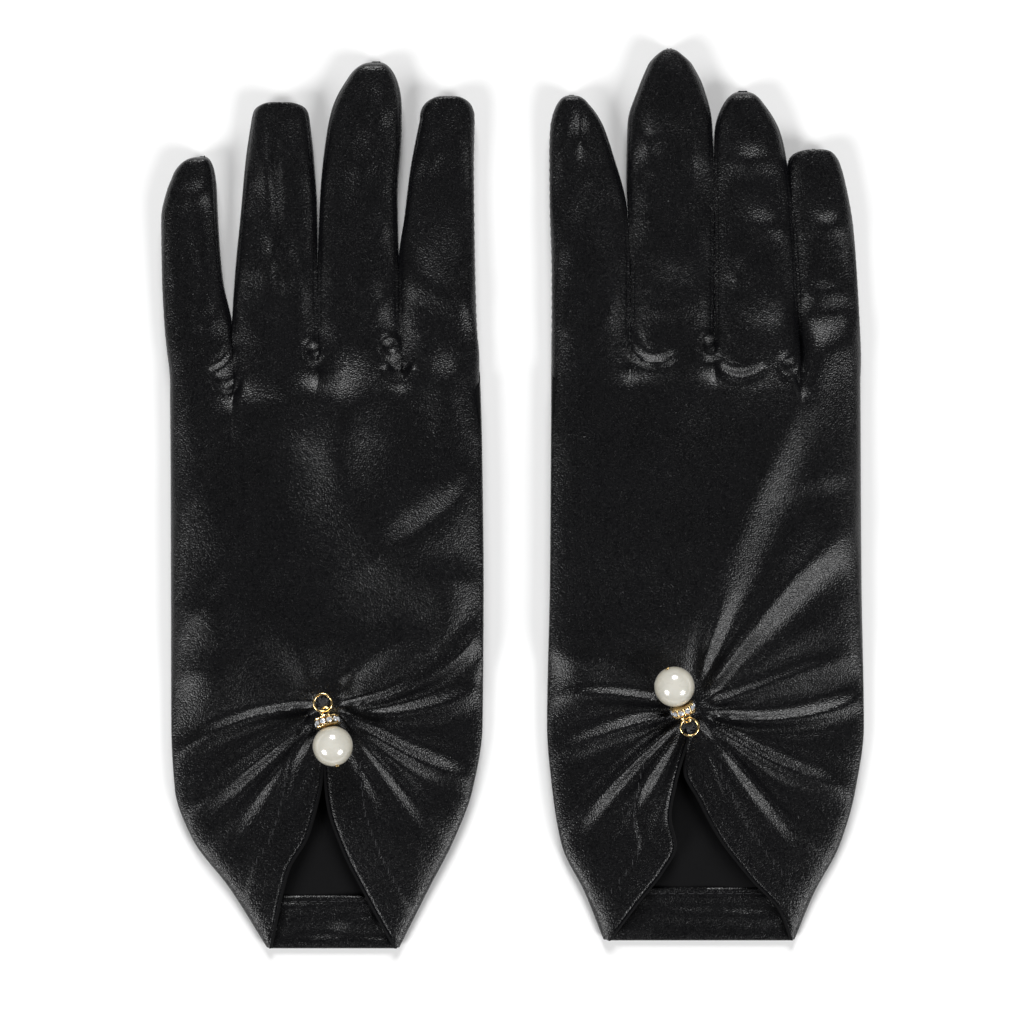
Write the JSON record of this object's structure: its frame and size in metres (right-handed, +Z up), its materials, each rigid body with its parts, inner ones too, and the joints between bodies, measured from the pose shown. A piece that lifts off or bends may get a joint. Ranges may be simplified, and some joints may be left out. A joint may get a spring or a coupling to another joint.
{
  "type": "pair of short satin gloves",
  "caption": "Pair of short satin gloves lying flat, with gathered slit cuffs and a pearl charm hooked to each gather.",
  "frame": {"origin": "on the table under the middle of the pair", "axes": "+Y to the fingertips, +X to the right seen from above, +Z up out of the backs of the hands"},
  "size_m": [0.176, 0.2256, 0.0163],
  "materials": {
    "satin": "black stretch satin, soft sheen",
    "satin_inside": "matt inner face of the satin",
    "thread": "black sewing thread",
    "gold": "polished gold-coloured plating",
    "rhinestone": "clear cut stones",
    "pearl": "glossy ivory pearl coating"
  },
  "bodies": {
    "left_hand": {"left_back_panel": "satin", "left_palm_panel": "satin", "left_palm_over_thumb": "satin", "left_wrist_hem": "satin_inside", "left_slit_facing_thumb_side": "satin_inside", "left_slit_facing_little_side": "satin_inside", "left_gather_tack": "thread"},
    "left_ring": {"left_jump_ring": "gold"},
    "left_charm": {"left_eye_pin": "gold", "left_rondelle": "gold", "left_rondelle_stones": "rhinestone", "left_pearl": "pearl"},
    "left_thumb": {"left_thumb_back": "satin", "left_thumb_palm": "satin"},
    "left_index_finger": {"left_index_finger_back": "satin", "left_index_finger_palm": "satin", "left_index_gusset": "satin"},
    "left_middle_finger": {"left_middle_finger_back": "satin", "left_middle_finger_palm": "satin", "left_middle_gusset_thumb_side": "satin", "left_middle_gusset_little_side": "satin"},
    "left_ring_finger": {"left_ring_finger_back": "satin", "left_ring_finger_palm": "satin", "left_ring_gusset_thumb_side": "satin", "left_ring_gusset_little_side": "satin"},
    "left_little_finger": {"left_little_finger_back": "satin", "left_little_finger_palm": "satin", "left_little_gusset": "satin"},
    "right_hand": {"right_back_panel": "satin", "right_palm_panel": "satin", "right_palm_over_thumb": "satin", "right_wrist_hem": "satin_inside", "right_slit_facing_thumb_side": "satin_inside", "right_slit_facing_little_side": "satin_inside", "right_gather_tack": "thread"},
    "right_ring": {"right_jump_ring": "gold"},
    "right_charm": {"right_eye_pin": "gold", "right_rondelle": "gold", "right_rondelle_stones": "rhinestone", "right_pearl": "pearl"},
    "right_thumb": {"right_thumb_back": "satin", "right_thumb_palm": "satin"},
    "right_index_finger": {"right_index_finger_back": "satin", "right_index_finger_palm": "satin", "right_index_gusset": "satin"},
    "right_middle_finger": {"right_middle_finger_back": "satin", "right_middle_finger_palm": "satin", "right_middle_gusset_thumb_side": "satin", "right_middle_gusset_little_side": "satin"},
    "right_ring_finger": {"right_ring_finger_back": "satin", "right_ring_finger_palm": "satin", "right_ring_gusset_thumb_side": "satin", "right_ring_gusset_little_side": "satin"},
    "right_little_finger": {"right_little_finger_back": "satin", "right_little_finger_palm": "satin", "right_little_gusset": "satin"}
  },
  "joints": [
    {"name": "right_glove_lift", "type": "slide", "parent": "left_hand", "child": "right_hand", "axis": [0, 0, 1], "range_m": [0, 0.12]},
    {"name": "left_index_fold", "type": "hinge", "parent": "left_hand", "child": "left_index_finger", "pos_m": [-0.017, 0.03525, 0.0062], "axis": [1, 0, 0], "range_deg": [0, 75]},
    {"name": "left_middle_fold", "type": "hinge", "parent": "left_hand", "child": "left_middle_finger", "pos_m": [-0.0378, 0.03525, 0.0062], "axis": [1, 0, 0], "range_deg": [0, 75]},
    {"name": "left_ring_fold", "type": "hinge", "parent": "left_hand", "child": "left_ring_finger", "pos_m": [-0.0591, 0.03525, 0.0062], "axis": [1, 0, 0], "range_deg": [0, 75]},
    {"name": "left_little_fold", "type": "hinge", "parent": "left_hand", "child": "left_little_finger", "pos_m": [-0.078, 0.03025, 0.0062], "axis": [1, 0, 0], "range_deg": [0, 75]},
    {"name": "left_thumb_swing", "type": "hinge", "parent": "left_hand", "child": "left_thumb", "pos_m": [-0.0225, -0.02475, 0.0017], "axis": [0, 0, -1], "range_deg": [0, 56]},
    {"name": "left_charm_swivel", "type": "hinge", "parent": "left_hand", "child": "left_ring", "pos_m": [-0.0471, -0.05075, 0.00897], "axis": [0, 0, 1], "range_deg": [-100, 100]},
    {"name": "left_charm_lift", "type": "hinge", "parent": "left_ring", "child": "left_charm", "pos_m": [-0.04657, -0.05289, 0.00897], "axis": [-0.9703, -0.2419, 0], "range_deg": [0, 75]},
    {"name": "right_index_fold", "type": "hinge", "parent": "right_hand", "child": "right_index_finger", "pos_m": [0.0192, 0.03725, 0.0062], "axis": [1, 0, 0], "range_deg": [0, 75]},
    {"name": "right_middle_fold", "type": "hinge", "parent": "right_hand", "child": "right_middle_finger", "pos_m": [0.04, 0.03725, 0.0062], "axis": [1, 0, 0], "range_deg": [0, 75]},
    {"name": "right_ring_fold", "type": "hinge", "parent": "right_hand", "child": "right_ring_finger", "pos_m": [0.0613, 0.03725, 0.0062], "axis": [1, 0, 0], "range_deg": [0, 75]},
    {"name": "right_little_fold", "type": "hinge", "parent": "right_hand", "child": "right_little_finger", "pos_m": [0.0802, 0.03225, 0.0062], "axis": [1, 0, 0], "range_deg": [0, 75]},
    {"name": "right_thumb_swing", "type": "hinge", "parent": "right_hand", "child": "right_thumb", "pos_m": [0.0247, -0.02275, 0.0017], "axis": [0, 0, 1], "range_deg": [0, 56]},
    {"name": "right_charm_swivel", "type": "hinge", "parent": "right_hand", "child": "right_ring", "pos_m": [0.0442, -0.05675, 0.00897], "axis": [0, 0, 1], "range_deg": [-100, 100]},
    {"name": "right_charm_lift", "type": "hinge", "parent": "right_ring", "child": "right_charm", "pos_m": [0.04341, -0.0547, 0.00897], "axis": [0.9336, 0.3584, 0], "range_deg": [0, 75]}
  ]
}
